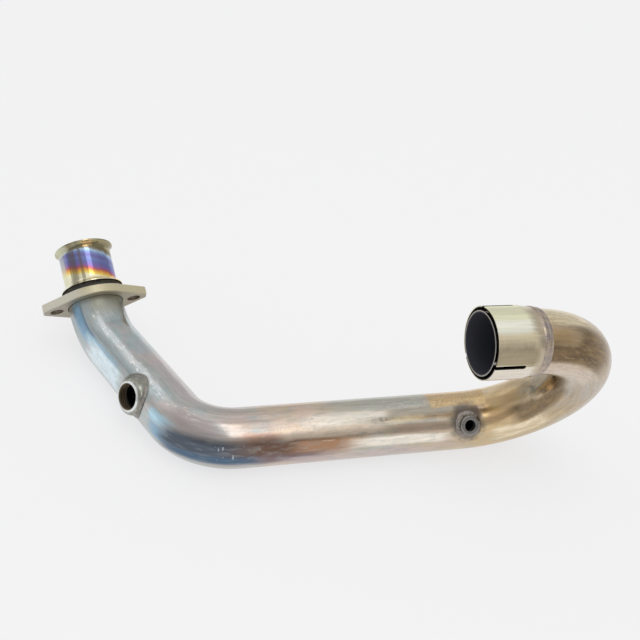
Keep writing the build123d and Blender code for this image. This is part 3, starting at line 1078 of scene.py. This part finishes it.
def sleeveFinish():
    own = sleeveLook
    look, tree, shader = newLook("strawSleeve")
    spot = seenFrom(tree, sleevePlace)
    x, y, z = parted(tree, spot)
    along = times(tree, z, mm)
    brushed = clouds(tree, spot, own["brushGrain"], fineDetail)
    crossed = clouds(tree, spot, own["crossGrain"])
    drift = clouds(tree, spot, own["driftGrain"])
    around = degreesRound(tree, times(tree, y, -1.0), x)
    softAlong = swayed(tree, along, *zip((drift, brushed), own["alongSway"]))
    softAround = swayed(tree, around, *zip((drift, brushed), own["roundSway"]))
    colour = colourBand(tree, maths(tree, "DIVIDE", softAlong, own["length"]), own["straw"])
    colour = tinted(tree, colour, softAlong, softAround, sleeveTints)
    colour = brushShaded(tree, colour, brushed, own["shade"])
    # inside the mouth the sleeve and slip are painted near-black: soot, and painted shade of the interior
    inside = fading(tree, fromAxis(tree, x, y), own["boreEdge"])
    inside = times(tree, inside, eased(tree, along, *own["boreFrom"]))
    colour = mixed(tree, inside, colour, own["sootAndShade"])
    rough = maths(tree, "ADD", levelled(tree, crossed, own["rough"]), times(tree, inside, own["boreRough"]))
    height = maths(tree, "ADD", brushed, times(tree, crossed, own["crossHeight"]))
    plug(tree, shader, colour, rough, 1.0, height, own["bump"])
    return look


weldLook = {
    "violet": (0.37, 0.315, 0.29),
    "grey": (0.36, 0.33, 0.30),
    "brown": (0.26, 0.22, 0.20),
    "straw": (0.52, 0.43, 0.33),
    "olive": (0.25, 0.25, 0.22),
    "smokyAndShaded": (0.12, 0.11, 0.10),
    "sootyAndShaded": (0.06, 0.06, 0.06),
    "cloudGrain": (260, 260, 260),
    "speckGrain": (1500, 1500, 1500),
    "clouds": (0.35, 0.65),
    "specks": (0.55, 0.75, 0.0, 0.5),
    "rough": (0.28, 0.45),
    "bump": (0.1, 0.0002),
}


def weldFinish(name, first, second, light):
    own = weldLook
    look, tree, shader = newLook(name)
    spot = addNode(tree, "ShaderNodeTexCoord").outputs["Object"]
    cloud = clouds(tree, spot, own["cloudGrain"], fineDetail)
    speck = clouds(tree, spot, own["speckGrain"])
    colour = mixed(tree, eased(tree, cloud, *own["clouds"]), own[first], own[second])
    colour = mixed(tree, eased(tree, speck, *own["specks"]), colour, own[light])
    plug(tree, shader, colour, levelled(tree, cloud, own["rough"]), 1.0, speck, own["bump"])
    return look


fittingLook = {
    "bright": (0.80, 0.82, 0.80),
    "dim": (0.30, 0.285, 0.265),
    "grey": (0.44, 0.45, 0.42),
    "olive": (0.30, 0.29, 0.24),
    "boreBrown": (0.20, 0.155, 0.10),
    "boreDark": (0.035, 0.034, 0.036),
    "cloudGrain": (320, 320, 320),
    "turnGrain": (90, 90, 2600),
    "clouds": (0.35, 0.65),
    "face": (-0.0010, -0.0005),
    "boreEdge": (-0.0001, 0.0003),
    "rough": (0.22, 0.34),
    "boreRough": 0.25,
    "cloudHeight": 0.4,
    "bump": (0.08, 0.0003),
}


def fittingFinish(name, place, fitting, face, bore, body, shade):
    own = fittingLook
    look, tree, shader = newLook(name)
    spot = seenFrom(tree, place)
    x, y, z = parted(tree, spot)
    deep = fromAxis(tree, x, y)
    cloud = clouds(tree, spot, own["cloudGrain"], fineDetail)
    turned = clouds(tree, spot, own["turnGrain"])
    colour = mixed(tree, eased(tree, cloud, *own["clouds"]), own[body], own[shade])
    top = tube["radius"] + fitting["standOff"]
    colour = mixed(tree, eased(tree, z, *[top + step for step in own["face"]]), colour, own[face])
    edge = fitting["bore"] + fitting["threadDepth"] / 2
    inside = fading(tree, deep, [edge + step for step in own["boreEdge"]])
    colour = mixed(tree, inside, colour, own[bore])
    rough = maths(tree, "ADD", levelled(tree, cloud, own["rough"]), times(tree, inside, own["boreRough"]))
    height = maths(tree, "ADD", turned, times(tree, cloud, own["cloudHeight"]))
    plug(tree, shader, colour, rough, 1.0, height, own["bump"])
    return look


finishes = {
    "port_collar": collarFinish(),
    "port_flange": flangeFinish(),
    "outlet_sleeve": sleeveFinish(),
    # the collar weld lies in the dark gap under the flare: near-black soot, partly painted shade of the gap
    "collar_weld": weldFinish("sootyShadedWeld", "smokyAndShaded", "sootyAndShaded", "grey"),
    "sleeve_weld": weldFinish("strawWeld", "straw", "violet", "brown"),
    "bung_weld": weldFinish("bungWeldSteel", "olive", "grey", "brown"),
    "boss_weld": weldFinish("bossWeldSteel", "brown", "grey", "straw"),
    "sensor_bung": fittingFinish("bungSteel", bungPlace, bung, "bright", "boreBrown", "grey", "olive"),
    "threaded_boss": fittingFinish("bossSteel", bossPlace, boss, "dim", "boreDark", "dim", "olive"),
}
for name, finish in finishes.items():
    mesh = skins[name].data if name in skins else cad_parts[name].data
    mesh.materials.clear()
    mesh.materials.append(finish)
print("finishes laid")

# floor, light and camera
floorLook = {"size": 12, "colour": (0.92, 0.92, 0.925, 1), "glow": (0.97, 0.97, 0.98, 1), "glowShare": 0.7}


def makeFloor():
    deselect()
    bpy.ops.mesh.primitive_plane_add(size=floorLook["size"])
    floor = named("floor")
    look = bpy.data.materials.new("paleFloor")
    tree = emptyTree(look)
    path = addNode(tree, "ShaderNodeLightPath")
    seen = maths(tree, "MAXIMUM", path.outputs["Is Camera Ray"], path.outputs["Is Glossy Ray"])
    seen = maths(tree, "MAXIMUM", seen, path.outputs["Is Transmission Ray"])
    paper = addNode(tree, "ShaderNodeBsdfDiffuse", {"Color": floorLook["colour"]})
    glow = addNode(tree, "ShaderNodeEmission", {"Color": floorLook["glow"], "Strength": 1.0})
    share = times(tree, seen, floorLook["glowShare"])
    blend = addNode(tree, "ShaderNodeMixShader", {0: share, 1: paper.outputs[0], 2: glow.outputs[0]})
    addNode(tree, "ShaderNodeOutputMaterial", {"Surface": blend.outputs[0]})
    floor.data.materials.append(look)


makeFloor()

lampLook = {"place": (0.1, -1.2, 2.4), "aim": (0.05, 0.0, 0.0), "wide": 0.9, "high": 2.4, "watts": 8}
deselect()
bpy.ops.object.light_add(type="AREA", location=lampLook["place"])
lamp = named("softLamp")
lamp.data.shape = "RECTANGLE"
lamp.data.size = lampLook["wide"]
lamp.data.size_y = lampLook["high"]
lamp.data.energy = lampLook["watts"]
beam = Vector(lampLook["aim"]) - Vector(lampLook["place"])
lamp.rotation_euler = beam.to_track_quat("-Z", "Y").to_euler()

# levels of light, and the limits between which they change
skyLook = {
    "plain": 0.62,
    "zenith": 0.85,
    "zenithUp": (0.6, 0.98),
    "front": 0.42,
    "frontAcross": (-0.85, -0.15),
    "frontUp": (0.3, 0.72),
    "rim": 0.9,
    "rimUp": (0.05, 0.11),
    "patch": 0.3,
    "patchToward": (-0.51, 0.61, 0.6),
    "patchEdge": (0.93, 0.99),
}


def makeSky():
    own = skyLook
    world = bpy.data.worlds.new("studio")
    bpy.context.scene.world = world
    tree = emptyTree(world)
    toward = addNode(tree, "ShaderNodeTexCoord").outputs["Generated"]
    y, z = parted(tree, toward)[1:]
    dark = times(tree, fading(tree, y, own["frontAcross"]), fading(tree, z, own["frontUp"]))
    level = eased(tree, dark, 0.0, 1.0, own["plain"], own["front"])
    zenith = eased(tree, z, *own["zenithUp"], 0.0, own["zenith"] - own["plain"])
    level = maths(tree, "ADD", level, zenith)
    near = vectors(tree, "DOT_PRODUCT", toward, own["patchToward"], result="Value")
    level = maths(tree, "ADD", level, eased(tree, near, *own["patchEdge"], 0.0, own["patch"]))
    level = blended(tree, fading(tree, z, own["rimUp"]), level, own["rim"])
    back = addNode(tree, "ShaderNodeBackground", {"Color": (1, 1, 1, 1), "Strength": level})
    addNode(tree, "ShaderNodeOutputWorld", {"Surface": back.outputs[0]})


makeSky()
print("stage set")

shot = {
    "place": (-0.193405, -0.555602, 0.41065),
    "ahead": (0.2932, 0.8126, -0.5037),
    "roll": radians(7.57),
    "lens": 57.93,
    "sensor": 36,
    "nearest": 0.01,
}
cameraData = bpy.data.cameras.new("camera")
camera = bpy.data.objects.new("camera", cameraData)
bpy.context.scene.collection.objects.link(camera)
camera.location = shot["place"]
turn = Vector(shot["ahead"]).to_track_quat("-Z", "Y") @ Quaternion((0, 0, 1), shot["roll"])
camera.rotation_euler = turn.to_euler()
cameraData.lens = shot["lens"]
cameraData.sensor_width = shot["sensor"]
cameraData.clip_start = shot["nearest"]
bpy.context.scene.camera = camera
bpy.context.scene.view_settings.view_transform = "Standard"
